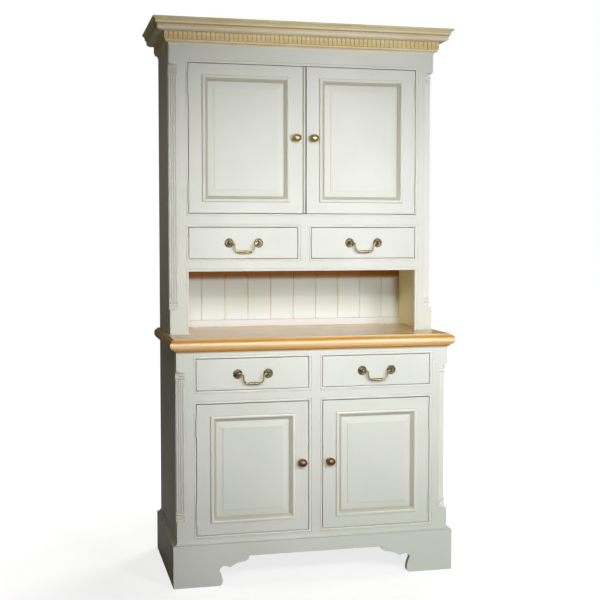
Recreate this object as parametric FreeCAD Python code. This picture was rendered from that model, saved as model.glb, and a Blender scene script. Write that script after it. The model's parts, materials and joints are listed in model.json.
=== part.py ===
import FreeCAD, Part
import math
import os

Vector = FreeCAD.Vector

# Step back cupboard: a base with a worktop, and a shallower upper part set back on it.
# Millimetres. +X is to the right, the front looks along -Y and +Z is up. The origin is
# on the floor, under the middle of the whole cupboard, knobs and cornice included.

# ---------------------------------------------------------------- driving dimensions

# Carcass
carcass_width = 1040.0
base_depth = 536.0
upper_depth = 360.0
side_thickness = 20.0
frame_thickness = 22.0
post_width = 61.0
post_depth = 45.0
stile_width = 32.0
base_back_thickness = 9.0
shelf_thickness = 20.0
deck_thickness = 20.0
ceiling_thickness = 18.0
sit_clearance = 0.5

# Heights of the base, stacked up from the floor
plinth_height = 153.0
bottom_rail_height = 21.0
lower_door_opening = 506.5
middle_rail_height = 27.5
lower_drawer_opening = 138.0
top_rail_height = 16.0
worktop_thickness = 48.0

# Heights of the upper part, stacked up from the worktop
recess_opening = 247.5
recess_rail_height = 27.0
upper_drawer_opening = 141.5
door_rail_height = 30.5
upper_door_opening = 584.0
frieze_height = 99.5
crown_height = 46.0

# Plinth
plinth_projection = 16.0
plinth_board_thickness = 22.0
plinth_rail_height = 93.0
plinth_block_size = 50.0
plinth_block_lift = 10.0
apron_height = 105.5
foot_length = 169.0

# Worktop
worktop_overhang = 24.0

# Reeded front corners
corner_chamfer = 33.0
reed_count = 4
reed_pitch = 10.6
reed_width = 9.6
reed_rise = 2.5
ring_rise = 4.5
ring_height = 11.0
stop_slope = 8.0
base_plain_foot = 82.0
base_plain_head = 69.0
base_stop = 34.5
upper_plain_foot = 89.0
upper_plain_head = 114.0
upper_stop = 42.5

# Bead slips round each opening
bead_width = 10.0
bead_quirk = 2.0
bead_proud = 1.0

# Doors
door_thickness = 22.0
face_recess = 1.0
door_gap = 2.5
meeting_bead_width = 14.0
stile_set = 50.0
rail_set = 42.0
moulding_lap = 6.0
moulding_width = 22.0
moulding_rise = 8.0
moulding_foot = 3.5
panel_thickness = 6.0
panel_set = 8.0
panel_slope = 3.0
field_rise = 3.0
field_step = 47.0
groove_depth = 8.0
groove_clearance = 0.5
lower_knob_inset = 25.5
lower_knob_height = 254.0
upper_knob_inset = 26.5
upper_knob_height = 287.0

# Knobs
knob_reach = 34.0
knob_height = 31.0
knob_width = 36.0
knob_neck_radius = 5.2
knob_rose_radius = 12.0
knob_rose_thickness = 2.0

# Hinges
hinge_length = 82.0
hinge_end = 77.5
hinge_knuckles = 3
knuckle_radius = 3.5
knuckle_gap = 0.2
hinge_pin_radius = 1.5
pin_clearance = 0.05
leaf_thickness = 1.1
leaf_depth = 20.0

# Catches
catch_width = 30.0
catch_inset = 4.0
catch_drop = 25.0
catch_hold = 18.0
catch_thickness = 18.0
catch_clearance = 0.3
strike_thickness = 1.0
strike_height = 12.0
strike_inset = 4.0

# Drawers
drawer_gap = 2.0
drawer_front_thickness = 20.0
drawer_edge_round = 1.5
drawer_board = 12.0
drawer_bottom_thickness = 6.0
drawer_bottom_lift = 8.0
drawer_groove = 5.5
drawer_back_drop = 5.0
running_clearance = 0.3
drawer_headroom = 10.0
kicker_clearance = 2.0
lower_drawer_length = 440.0
upper_drawer_length = 300.0
runner_bearing = 25.0
lower_runner_thickness = 18.0
guide_height = 17.0
stop_length = 20.0

# Bail handles
bail_spread = 114.0
bail_head_radius = 7.0
bail_head_reach = 18.0
bail_post_radius = 4.0
bail_rose_radius = 18.0
bail_rose_thickness = 2.5
bail_wire_radius = 3.1
bail_barrel_radius = 4.3
bail_arm_offset = 38.5
bail_top_bend = 7.0
bail_low_bend = 14.0
bail_bend_steps = 2
bail_drop = 34.0
bail_grip_radius = 5.5
bail_pin_depth = 2.5

# Back boards of the upper part
board_pitch = 96.5
first_board = 52.5
narrowest_board = 30.0
back_board_thickness = 14.0
vee_depth = 3.0
tongue_thickness = 4.0
tongue_length = 5.0
tongue_clearance = 0.3
recess_rail_thickness = 18.0
back_rail_height = 26.5

# Shelves
shelf_setback = 38.0
lower_shelf_height = 246.0
upper_shelf_height = 293.5
batten_size = 18.0

# Cornice
crown_projection = 63.5
crown_foot = 29.0
crown_inset = 20.0
dentil_face = 17.5
dentil_backing = 13.5
dentil_height = 28.0
dentil_tooth = 12.2
dentil_pitch = 17.3
bed_mould_height = 17.0

# ---------------------------------------------------------------- derived places

half_width = carcass_width / 2
inside_half = half_width - side_thickness
post_inner = half_width - post_width
stile_half = stile_width / 2
bead_line = post_inner - bead_width

front_reach = max(knob_reach - face_recess, worktop_overhang, plinth_projection)
y_base = (front_reach - base_depth) / 2
y_back = y_base + base_depth
y_upper = y_back - upper_depth
y_base_inner = y_back - base_back_thickness
y_upper_inner = y_back - back_board_thickness

z_door_bottom = plinth_height + bottom_rail_height
z_door_top = z_door_bottom + lower_door_opening
z_drawer_bottom = z_door_top + middle_rail_height
z_drawer_top = z_drawer_bottom + lower_drawer_opening
z_base_top = z_drawer_top + top_rail_height
z_worktop = z_base_top + worktop_thickness
z_recess_top = z_worktop + recess_opening
z_upper_drawer_bottom = z_recess_top + recess_rail_height
z_upper_drawer_top = z_upper_drawer_bottom + upper_drawer_opening
z_upper_door_bottom = z_upper_drawer_top + door_rail_height
z_upper_door_top = z_upper_door_bottom + upper_door_opening
z_upper_top = z_upper_door_top + frieze_height

z_deck = z_door_bottom + bead_width
z_ceiling = z_recess_top + ceiling_thickness
z_floor = z_upper_door_bottom + bead_width
z_lower_shelf = z_deck + lower_shelf_height
z_upper_shelf = z_floor + upper_shelf_height

# ---------------------------------------------------------------- shapes


def box(x0, x1, y0, y1, z0, z1):
    return Part.makeBox(x1 - x0, y1 - y0, z1 - z0, Vector(x0, y0, z0))


def arc_middle(here, there, rise):
    """The point that stands to the left of the middle of a chord by the given rise."""
    run = (there[0] - here[0], there[1] - here[1])
    chord = math.hypot(*run)
    return ((here[0] + there[0]) / 2 - rise * run[1] / chord,
            (here[1] + there[1]) / 2 + rise * run[0] / chord)


def outline(place, points):
    """A closed face. A point (a, b) is met by a line, and (a, b, rise) by an arc."""
    edges = []
    here = points[0]
    for there in points[1:] + points[:1]:
        if len(there) == 3:
            middle = arc_middle(here, there, there[2])
            edges.append(Part.Arc(place(*here[:2]), place(*middle), place(*there[:2])).toShape())
        else:
            edges.append(Part.LineSegment(place(*here[:2]), place(*there)).toShape())
        here = there
    return Part.Face(Part.Wire(edges))


def plan_prism(points, z0, z1):
    return outline(lambda x, y: Vector(x, y, z0), points).extrude(Vector(0, 0, z1 - z0))


def front_prism(points, y0, y1):
    return outline(lambda x, z: Vector(x, y0, z), points).extrude(Vector(0, y1 - y0, 0))


def fused(solids):
    return solids[0].fuse(solids[1:]).removeSplitter()


def mirrored(solid):
    return solid.mirror(Vector(0, 0, 0), Vector(1, 0, 0))


def both_sides(solids):
    return solids + [mirrored(solid) for solid in solids]


def turned(points, place, centre, axis):
    return outline(place, points).revolve(centre, axis, 360)


def shrink(area, margin):
    x0, x1, z0, z1 = area
    return (x0 + margin, x1 - margin, z0 + margin, z1 - margin)


def wrap_three_sides(points, y_face):
    """Three lengths of a moulding, mitred at the front corners of the carcass.

    The section is given as (outward from the carcass, height).
    """
    front_face = outline(lambda out, z: Vector(-carcass_width, y_face - out, z), points)
    side_face = outline(lambda out, z: Vector(-half_width - out, y_face - carcass_width, z), points)
    limits = front_face.BoundBox
    reach = y_face - limits.YMin
    inset = limits.YMax - y_face
    outer = (-half_width - reach, y_face - reach)
    inner = (-half_width + inset, y_face + inset)
    front_plan = [outer, inner, (-inner[0], inner[1]), (-outer[0], outer[1])]
    side_plan = [outer, inner, (inner[0], y_back), (outer[0], y_back)]
    front = front_face.extrude(Vector(2 * carcass_width, 0, 0))
    front = front.common(plan_prism(front_plan, limits.ZMin, limits.ZMax))
    side = side_face.extrude(Vector(0, 3 * carcass_width, 0))
    side = side.common(plan_prism(side_plan, limits.ZMin, limits.ZMax))
    return [front, side, mirrored(side)]


def mitred_frame(points, area, width, y_face):
    """Left, right, bottom and top lengths round the inside of an area, mitred.

    The section is given as (inward from the edge of the area, back from the face).
    """
    x0, x1, z0, z1 = area
    left = outline(lambda t, y: Vector(x0 + t, y_face + y, z0), points)
    right = outline(lambda t, y: Vector(x1 - t, y_face + y, z0), points)
    bottom = outline(lambda t, y: Vector(x0, y_face + y, z0 + t), points)
    top = outline(lambda t, y: Vector(x0, y_face + y, z1 - t), points)
    upright = Vector(0, 0, z1 - z0)
    level = Vector(x1 - x0, 0, 0)
    corners = [(x0, z0), (x0, z1), (x1, z1), (x1, z0)]
    inner = [(x0 + width, z0 + width), (x0 + width, z1 - width),
             (x1 - width, z1 - width), (x1 - width, z0 + width)]
    y0 = left.BoundBox.YMin
    y1 = left.BoundBox.YMax
    lengths = []
    for face, along, first, second in ((left, upright, 0, 1), (right, upright, 3, 2),
                                       (bottom, level, 0, 3), (top, level, 1, 2)):
        wedge = [corners[first], corners[second], inner[second], inner[first]]
        lengths.append(face.extrude(along).common(front_prism(wedge, y0, y1)))
    return lengths


# ---------------------------------------------------------------- plinth


def plinth_front():
    """Front board: bracket feet that scroll up to a level apron, mitred at both ends."""
    end = half_width + plinth_projection
    back = end - plinth_board_thickness
    y0 = y_base - plinth_projection
    y1 = y0 + plinth_board_thickness
    scroll = [(0, 0), (11.5, 19, 4.0), (0, 57, 2.6), (17, 73.5, -4.0), (40, 66.5, -0.8),
              (96, 85.5, -4.8), (112, apron_height, 3.5)]
    points = [(0, plinth_height), (end, plinth_height), (end, 0)]
    for along, height, *rise in scroll:
        points.append((end - foot_length - along, height, *rise))
    half = front_prism(points + [(0, apron_height)], y0, y1)
    mitres = plan_prism([(-end, y0), (-back, y1), (back, y1), (end, y0)], 0, plinth_height)
    return [fused([half, mirrored(half)]).common(mitres)]


def plinth_sides():
    end = half_width + plinth_projection
    back = end - plinth_board_thickness
    y0 = y_base - plinth_projection
    y1 = y0 + plinth_board_thickness
    side = plan_prism([(-end, y0), (-back, y1), (-back, y_back), (-end, y_back)], 0, plinth_height)
    return both_sides([side])


def plinth_blocks():
    inner = half_width + plinth_projection - plinth_board_thickness
    y_front = y_base - plinth_projection + plinth_board_thickness
    y_rail = y_back - plinth_board_thickness
    rail = box(-inner, inner, y_rail, y_back, plinth_height - plinth_rail_height, plinth_height)
    blocks = []
    for y0 in (y_front, y_rail - plinth_block_size):
        blocks.append(box(-inner, -inner + plinth_block_size, y0, y0 + plinth_block_size,
                          plinth_block_lift, plinth_height))
    return [rail] + both_sides(blocks)


def plinth_moulding():
    """A small cove that covers the ledge between the plinth and the base."""
    ledge = plinth_projection
    section = [(0, 0), (ledge, 0), (ledge, 2), (ledge - 1, 2), (2, 10, 3.0), (0, 10)]
    return wrap_three_sides([(p[0], p[1] + plinth_height, *p[2:]) for p in section], y_base)


# ---------------------------------------------------------------- carcass boards


def deck_board(y_frame, z0, z1, y_rear):
    """A board between the sides, notched round the two front posts."""
    y_rail = y_frame + frame_thickness
    y_post = y_frame + post_depth
    plan = [(-post_inner, y_rail), (post_inner, y_rail), (post_inner, y_post),
            (inside_half, y_post), (inside_half, y_rear), (-inside_half, y_rear),
            (-inside_half, y_post), (-post_inner, y_post)]
    return plan_prism(plan, z0, z1)


def side_board(y_frame, z0, z1):
    return both_sides([box(-half_width, -inside_half, y_frame + post_depth, y_back, z0, z1)])


def shelf(y_frame, z_top, y_rear):
    y_front = y_frame + frame_thickness + shelf_setback
    edge = inside_half - sit_clearance
    return box(-edge, edge, y_front, y_rear - sit_clearance, z_top - shelf_thickness, z_top)


def shelf_battens(y_frame, z_top, y_rear):
    y_front = y_frame + post_depth + batten_size
    z_under = z_top - shelf_thickness
    return both_sides([box(-inside_half, -inside_half + batten_size, y_front, y_rear - batten_size,
                           z_under - batten_size, z_under)])


def worktop():
    """Oak top with a moulded edge along the front and both ends."""
    edge = worktop_overhang
    top = z_worktop
    low = z_base_top
    nose = [(edge - 14, top), (edge - 14, top - 2.5), (edge, top - 21, 3.85),
            (edge - 8, low + 9, 2.0), (edge - 14.5, low + 9), (edge - 20, low, 1.6)]
    y_section = [(-base_depth, top)] + nose + [(-base_depth, low)]
    front = outline(lambda out, z: Vector(-carcass_width, y_base - out, z), y_section)
    slab = front.extrude(Vector(2 * carcass_width, 0, 0))
    x_section = [(-carcass_width - worktop_overhang, top)] + nose
    x_section = x_section + [(-carcass_width - worktop_overhang, low)]
    end = outline(lambda out, z: Vector(-half_width - out, y_base - base_depth, z), x_section)
    shaped = end.extrude(Vector(0, 3 * base_depth, 0))
    return [slab.common(shaped).common(mirrored(shaped))]


# ---------------------------------------------------------------- posts


def reeded_plan():
    """Section of a post, given as (inward, back) from its outer front corner."""
    start = (corner_chamfer * math.sqrt(2) - reed_count * reed_pitch + reed_pitch - reed_width) / 2
    points = [(corner_chamfer, 0)]
    for reed in range(reed_count):
        near = (start + reed * reed_pitch) / math.sqrt(2)
        far = near + reed_width / math.sqrt(2)
        points.append((corner_chamfer - near, near))
        points.append((corner_chamfer - far, far, reed_rise))
    return points + [(0, corner_chamfer), (0, post_depth), (post_width, post_depth), (post_width, 0)]


def post(y_frame, z0, z1, plain_foot, plain_head, stop):
    """Left front post: square ends, ringed stops and a reeded chamfer between them."""
    middle = corner_chamfer / 2
    edge = corner_chamfer / math.sqrt(2)
    slack = (stop - stop_slope - 2 * ring_height) / 3

    def at(points):
        return [(p[0] - half_width, p[1] + y_frame, *p[2:]) for p in points]

    def across(out, z):
        near = middle - out / math.sqrt(2)
        return Vector(near - corner_chamfer - half_width, near + corner_chamfer + y_frame, z)

    def dressing(points):
        bar = outline(across, points).extrude(Vector(2 * corner_chamfer, -2 * corner_chamfer, 0))
        return bar.common(plan_prism(at([(0, 0), (corner_chamfer, 0), (0, corner_chamfer)]), z0, z1))

    z_reeds = (z0 + plain_foot + stop, z1 - plain_head - stop)
    core = at([(corner_chamfer, 0), (0, corner_chamfer), (0, post_depth),
               (post_width, post_depth), (post_width, 0)])
    pieces = [plan_prism(at(reeded_plan()), *z_reeds),
              plan_prism(core, z0, z_reeds[0]), plan_prism(core, z_reeds[1], z1)]
    for z_end, z_plain, up in ((z0, z0 + plain_foot, 1), (z1, z1 - plain_head, -1)):
        pieces.append(dressing([(0, z_end), (edge, z_end), (edge, z_plain),
                                (0, z_plain + up * stop_slope)]))
        for ring in (0, 1):
            start = stop_slope + slack + ring * (ring_height + slack)
            ends = sorted((z_plain + up * start, z_plain + up * (start + ring_height)))
            pieces.append(dressing([(0, ends[0]), (0, ends[1], -ring_rise)]))
    return fused(pieces)


# ---------------------------------------------------------------- face frames and beads


def rail(y_frame, z0, z1):
    return box(-post_inner, post_inner, y_frame, y_frame + frame_thickness, z0, z1)


def stile(y_frame, z0, z1):
    return box(-stile_half, stile_half, y_frame, y_frame + frame_thickness, z0, z1)


def base_frame():
    return [rail(y_base, plinth_height, z_door_bottom), rail(y_base, z_door_top, z_drawer_bottom),
            rail(y_base, z_drawer_top, z_base_top), stile(y_base, z_door_bottom, z_door_top),
            stile(y_base, z_drawer_bottom, z_drawer_top)]


def upper_frame():
    return [rail(y_upper, z_recess_top, z_upper_drawer_bottom),
            rail(y_upper, z_upper_drawer_top, z_upper_door_bottom),
            rail(y_upper, z_upper_door_top, z_upper_top),
            stile(y_upper, z_upper_drawer_bottom, z_upper_drawer_top)]


def left_opening(z0, z1):
    return (-post_inner, -stile_half, z0, z1)


def wide_opening(z0, z1):
    return (-post_inner, post_inner, z0, z1)


def bead_section(width):
    """Quirk and half round, given as (inward, back) from the edge that it is fixed to."""
    radius = (width - bead_quirk) / 2
    shoulder = radius - bead_proud
    return [(0, shoulder), (0, frame_thickness), (width, frame_thickness),
            (width, shoulder), (bead_quirk, shoulder, radius)]


def beads(area, y_frame):
    return mitred_frame(bead_section(bead_width), area, bead_width, y_frame)


def base_beads():
    doors = beads(left_opening(z_door_bottom, z_door_top), y_base)
    drawers = beads(left_opening(z_drawer_bottom, z_drawer_top), y_base)
    return both_sides(doors + drawers)


def upper_beads():
    drawers = beads(left_opening(z_upper_drawer_bottom, z_upper_drawer_top), y_upper)
    doors = beads(wide_opening(z_upper_door_bottom, z_upper_door_top), y_upper)
    left, right, bottom, top = beads(wide_opening(z_worktop - bead_width, z_recess_top), y_upper)
    above = box(-post_inner, post_inner, y_upper - bead_width, y_upper + frame_thickness,
                z_worktop, z_recess_top)
    return both_sides(drawers) + doors + [left.common(above), right.common(above), top]


# ---------------------------------------------------------------- drawer runners


def drawer_runners(y_frame, y_rear, z_under, opening, z_over, box_length):
    """Runners, guides, kickers and stops for a pair of drawers."""
    y_rail = y_frame + frame_thickness
    y_post = y_frame + post_depth
    z_run = opening[0] + bead_width
    z_kick = opening[1] - bead_width - drawer_headroom + kicker_clearance
    z_guide = z_run + guide_height
    outer = bead_line - runner_bearing
    centre = stile_half + bead_width
    bearing = centre + runner_bearing
    notched = [(-inside_half, y_post), (-post_inner, y_post), (-post_inner, y_rail),
               (-outer, y_rail), (-outer, y_rear), (-inside_half, y_rear)]
    left = [plan_prism(notched, z_under, z_run), plan_prism(notched, z_kick, z_over),
            box(-inside_half, -bead_line, y_post, y_rear, z_run, z_guide)]
    y_stop = y_frame + face_recess + drawer_front_thickness + box_length + running_clearance
    for x0, x1 in ((-bead_line, -outer), (-bearing, -centre)):
        left.append(box(x0, x1, y_stop, y_stop + stop_length, z_run, z_guide))
    middle = [box(-bearing, bearing, y_rail, y_rear, z_under, z_run),
              box(-bearing, bearing, y_rail, y_rear, z_kick, z_over),
              box(-centre, centre, y_rail, y_rear, z_run, z_guide)]
    return both_sides(left) + middle


# ---------------------------------------------------------------- hinges and doors


def hinge(x_axis, y_frame, z_middle):
    """Butt hinge for a door hung on its left edge: the fixed leaf with its pin, and the other."""
    y_axis = y_frame - knuckle_radius
    z0 = z_middle - hinge_length / 2
    length = (hinge_length - (hinge_knuckles - 1) * knuckle_gap) / hinge_knuckles
    y_clear = y_axis + knuckle_radius + knuckle_gap
    up = Vector(0, 0, 1)
    x_fixed = x_axis - door_gap / 2
    x_moving = x_axis + door_gap / 2 - leaf_thickness
    leaves = [[box(x, x + leaf_thickness, y_clear, y_frame + leaf_depth, z0, z0 + hinge_length)]
              for x in (x_fixed, x_moving)]
    for knuckle in range(hinge_knuckles):
        z_low = z0 + knuckle * (length + knuckle_gap)
        x = (x_fixed, x_moving)[knuckle % 2]
        leaves[knuckle % 2] += [
            Part.makeCylinder(knuckle_radius, length, Vector(x_axis, y_axis, z_low), up),
            box(x, x + leaf_thickness, y_axis, y_clear, z_low, z_low + length)]
    pin = Part.makeCylinder(hinge_pin_radius, hinge_length, Vector(x_axis, y_axis, z0), up)
    bore = Part.makeCylinder(hinge_pin_radius + pin_clearance, hinge_length,
                             Vector(x_axis, y_axis, z0), up)
    return fused(leaves[0] + [pin]), fused(leaves[1]).cut(bore)


def slab(area, y0, y1):
    x0, x1, z0, z1 = area
    return box(x0, x1, y0, y1, z0, z1)


def rectangle(area, y):
    x0, x1, z0, z1 = area
    corners = [Vector(x0, y, z0), Vector(x1, y, z0), Vector(x1, y, z1), Vector(x0, y, z1)]
    return Part.makePolygon(corners + corners[:1])


def sight(leaf, inward):
    """The outer edge of the moulding round a leaf's panel, moved inward."""
    x0, x1, z0, z1 = leaf
    across = stile_set + inward
    up = rail_set + inward
    return (x0 + across, x1 - across, z0 + up, z1 - up)


def door_panel(leaf, y_face):
    """Raised and fielded panel that floats in the groove of the door's frame."""
    y_plate = y_face + panel_set
    y_slope = y_plate - panel_slope
    plate = slab(sight(leaf, moulding_lap - groove_depth + groove_clearance),
                 y_plate, y_plate + panel_thickness)
    field = sight(leaf, field_step)
    foot = sight(leaf, moulding_width + groove_clearance)
    bevel = Part.makeLoft([rectangle(foot, y_plate), rectangle(field, y_slope)], True, True)
    return fused([plate, bevel, slab(field, y_slope - field_rise, y_slope)])


def door_mouldings(leaf, y_face):
    """Bolection moulding that covers the joint between the frame and the panel."""
    lap = moulding_lap
    width = moulding_width
    rise = moulding_rise
    toe = panel_set - moulding_foot
    section = [(0, 0), (0, 5 - rise), (2, 1 - rise), (lap - 1, -rise), (lap + 5, 2.5 - rise, -1.6),
               (width - 3, toe - 1.5, 1.4), (width, toe), (width, panel_set), (lap, panel_set),
               (lap, 0)]
    return mitred_frame(section, sight(leaf, 0), width, y_face)


def door_frame(leaf, y_face, meeting_bead):
    x0, x1, z0, z1 = leaf
    y1 = y_face + door_thickness
    inner = sight(leaf, moulding_lap)
    groove = slab(sight(leaf, moulding_lap - groove_depth),
                  y_face + panel_set, y_face + panel_set + panel_thickness)
    members = [box(x0, inner[0], y_face, y1, z0, z1), box(inner[1], x1, y_face, y1, z0, z1),
               box(inner[0], inner[1], y_face, y1, z0, inner[2]),
               box(inner[0], inner[1], y_face, y1, inner[3], z1)]
    solids = [member.cut(groove) for member in members]
    if meeting_bead:
        section = outline(lambda t, y: Vector(x1 + t, y_face + y, z0),
                          bead_section(meeting_bead_width))
        solids.append(section.extrude(Vector(0, 0, z1 - z0)))
    return solids + door_mouldings(leaf, y_face)


def forward_turned(points):
    """A piece turned about an axis that points forward, given as (radius, out)."""
    return turned(points, lambda r, out: Vector(r, -out, 0), Vector(0, 0, 0), Vector(0, -1, 0))


def knob(x, y_face, z):
    """Oval knob on a turned neck, with its round rose."""
    neck = knob_neck_radius
    head = knob_height / 2
    rose = knob_rose_thickness
    handle = forward_turned([(0, rose), (neck + 2, rose), (neck, rose + 5), (neck, rose + 11),
                             (head - 2, rose + 16), (head, rose + 20), (head - 3, rose + 27),
                             (head - 8, knob_reach), (0, knob_reach)])
    widen = FreeCAD.Matrix()
    widen.scale(Vector(knob_width / knob_height, 1, 1))
    handle = handle.transformGeometry(widen)
    plate = forward_turned([(0, 0), (knob_rose_radius, 0), (knob_rose_radius - 1.5, rose), (0, rose)])
    for piece in (handle, plate):
        piece.translate(Vector(x, y_face, z))
    return [handle, plate]


def catch(x_edge, y_frame, z_top):
    """Block behind the rail that the door's strike plate closes against."""
    y_rail = y_frame + frame_thickness
    y_stop = y_frame + face_recess + door_thickness + strike_thickness + catch_clearance
    x1 = x_edge - catch_inset
    z_head = z_top + catch_hold
    side = [(y_rail, z_top), (y_rail, z_head), (y_rail + catch_thickness, z_head),
            (y_rail + catch_thickness, z_top - bead_width - catch_drop),
            (y_stop, z_top - bead_width - catch_drop), (y_stop, z_top)]
    face = outline(lambda y, z: Vector(x1 - catch_width, y, z), side)
    return face.extrude(Vector(catch_width, 0, 0))


def strike(x_edge, y_frame, z_top):
    y0 = y_frame + face_recess + door_thickness
    x1 = x_edge - catch_inset - strike_inset
    z1 = z_top - bead_width - door_gap - strike_inset
    return box(x1 - catch_width + 2 * strike_inset, x1, y0, y0 + strike_thickness,
               z1 - strike_height, z1)


def door(leaf, y_frame, knob_inset, knob_lift, meeting_bead):
    """A left-hand door and its ironmongery, as lists of solids for each node."""
    y_face = y_frame + face_recess
    x_axis = leaf[0] - door_gap / 2
    z_top = leaf[3] + door_gap + bead_width
    hinges = [hinge(x_axis, y_frame, leaf[2] + hinge_end), hinge(x_axis, y_frame, leaf[3] - hinge_end)]
    return {
        "frame": door_frame(leaf, y_face, meeting_bead),
        "panel": [door_panel(leaf, y_face)],
        "knob": knob(leaf[1] - knob_inset, y_face, leaf[2] + knob_lift),
        "fittings": [moving for _, moving in hinges] + [strike(leaf[1], y_frame, z_top)],
        "fixed": [fixed for fixed, _ in hinges],
        "catch": [catch(leaf[1], y_frame, z_top)],
    }


# ---------------------------------------------------------------- drawers and their handles


def drawer_front(area, y_face):
    x0, x1, z0, z1 = area
    y1 = y_face + drawer_front_thickness
    board = slab(area, y_face, y1)
    front_edges = [edge for edge in board.Edges
                   if edge.BoundBox.YMax < y_face + drawer_edge_round]
    return board.makeFillet(drawer_edge_round, front_edges)


def drawer_bottom_levels(z_low):
    z0 = z_low + drawer_bottom_lift
    return z0, z0 + drawer_bottom_thickness


def drawer_box(area, y_face, z_low, z_high, length):
    """Two sides, a back, and a bottom that slides into grooves under the back."""
    x0, x1 = area[:2]
    y0 = y_face + drawer_front_thickness
    y1 = y0 + length
    z_bottom, z_seat = drawer_bottom_levels(z_low)
    reach = drawer_board - drawer_groove
    sides = [box(x0, x0 + drawer_board, y0, y1, z_low, z_high),
             box(x1 - drawer_board, x1, y0, y1, z_low, z_high)]
    groove = box(x0 + reach, x1 - reach, y0, y1, z_bottom, z_seat)
    sides = [side.cut(groove) for side in sides]
    back = box(x0 + drawer_board, x1 - drawer_board, y1 - drawer_board, y1,
               z_seat, z_high - drawer_back_drop)
    inset = reach + groove_clearance
    bottom = box(x0 + inset, x1 - inset, y0, y1, z_bottom, z_seat)
    return sides + [back, bottom]


def bail_posts(x, y_face, z):
    """Two dished roses, each with a post whose head holds an end of the bail."""
    rim = bail_rose_radius
    rise = bail_rose_thickness
    neck = bail_post_radius
    head = bail_head_radius
    reach = bail_head_reach
    stem = forward_turned([(0, 0), (rim, 0), (rim - 3, rise), (neck + 1.5, rise - 0.7),
                           (neck - 0.8, reach - head), (head, reach - head / 2),
                           (head, reach + head / 2), (head / 2, reach + head),
                           (0, reach + head)])
    hole = Part.makeCylinder(bail_wire_radius + pin_clearance, 2 * head,
                             Vector(bail_pin_depth + pin_clearance, -reach, 0), Vector(-1, 0, 0))
    right = stem.cut(hole)
    posts = [right, mirrored(right)]
    for side, piece in zip((1, -1), posts):
        piece.translate(Vector(x + side * bail_spread / 2, y_face, z))
    return posts


def bent_path(corners, bends):
    """Points along straight runs that meet at right angles, with a stepped bend at each."""
    points = [corners[0]]
    for before, corner, after, bend in zip(corners, corners[1:], corners[2:], bends):
        arrive = (corner - before).normalize()
        leave = (after - corner).normalize()
        for step in range(bail_bend_steps + 1):
            angle = math.pi / 2 * step / bail_bend_steps
            points.append(corner - arrive * bend * (1 - math.sin(angle))
                          + leave * bend * (1 - math.cos(angle)))
    return points + [corners[-1]]


def bail(x, y_face, z):
    """Swan-necked bail: pins in the heads, barrels, arms that turn in and a swelled grip."""
    arm = bail_arm_offset
    drop = bail_drop
    pin_end = bail_spread / 2 + bail_pin_depth
    path = bent_path([Vector(pin_end, 0, 0), Vector(arm, 0, 0), Vector(arm, 0, -drop),
                      Vector(-arm, 0, -drop), Vector(-arm, 0, 0), Vector(-pin_end, 0, 0)],
                     (bail_top_bend, bail_low_bend, bail_low_bend, bail_top_bend))
    ring = Part.Wire(Part.makeCircle(bail_wire_radius, path[0], path[1] - path[0]))
    rod = Part.makePolygon(path).makePipeShell([ring], True, False, 1)
    barrel_end = bail_spread / 2 - bail_head_radius - running_clearance
    barrel_start = arm + bail_top_bend
    barrel = Part.makeCylinder(bail_barrel_radius, barrel_end - barrel_start,
                               Vector(barrel_start, 0, 0), Vector(1, 0, 0))
    half_grip = arm - bail_low_bend - 1
    grip = [(-half_grip, 0), (-half_grip, bail_barrel_radius), (0, bail_grip_radius),
            (half_grip, bail_barrel_radius), (half_grip, 0)]
    swell = turned(grip, lambda along, r: Vector(along, 0, r - drop), Vector(0, 0, -drop),
                   Vector(1, 0, 0))
    whole = fused([rod, barrel, mirrored(barrel), swell])
    whole.translate(Vector(x, y_face - bail_head_reach, z))
    return whole


def drawer(opening, y_frame, box_length):
    """A left-hand drawer, as lists of solids for each node."""
    inside = shrink(opening, bead_width)
    area = shrink(inside, drawer_gap)
    y_face = y_frame + face_recess
    x_middle = (area[0] + area[1]) / 2
    z_middle = (area[2] + area[3]) / 2
    z_low = inside[2] + running_clearance
    z_high = inside[3] - drawer_headroom
    return {
        "front": [drawer_front(area, y_face)],
        "box": drawer_box(area, y_face, z_low, z_high, box_length),
        "handle": bail_posts(x_middle, y_face, z_middle),
        "bail": [bail(x_middle, y_face, z_middle)],
    }


# ---------------------------------------------------------------- back boards


def back_board(x0, x1, left_joint, right_joint):
    """One board: a vee and a groove at a left joint, a vee and a tongue at a right one."""
    y0 = y_upper_inner
    y_tongue = (y0 + y_back - tongue_thickness) / 2
    plan = [(x0, y_back), (x1, y_back)]
    plan += [(x1, y0 + vee_depth), (x1 - vee_depth, y0)] if right_joint else [(x1, y0)]
    plan += [(x0 + vee_depth, y0), (x0, y0 + vee_depth)] if left_joint else [(x0, y0)]
    board = plan_prism(plan, z_worktop, z_upper_top)
    if left_joint:
        board = board.cut(box(x0, x0 + tongue_length + tongue_clearance,
                              y_tongue - tongue_clearance,
                              y_tongue + tongue_thickness + tongue_clearance,
                              z_worktop, z_upper_top))
    if right_joint:
        board = fused([board, box(x1, x1 + tongue_length, y_tongue, y_tongue + tongue_thickness,
                                  z_worktop, z_upper_top)])
    return board


def back_boards():
    """Vertical boards, tongued and grooved, across the whole back of the upper part."""
    full = int((2 * inside_half - first_board - narrowest_board) // board_pitch)
    joints = [first_board - inside_half + k * board_pitch for k in range(full + 1)]
    edges = [-inside_half] + joints + [inside_half]
    return [back_board(x0, x1, x0 != edges[0], x1 != edges[-1])
            for x0, x1 in zip(edges, edges[1:])]


def recess_back_rail():
    return [box(-inside_half, inside_half, y_upper_inner - recess_rail_thickness, y_upper_inner,
                z_worktop, z_worktop + back_rail_height)]


# ---------------------------------------------------------------- cornice


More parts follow.
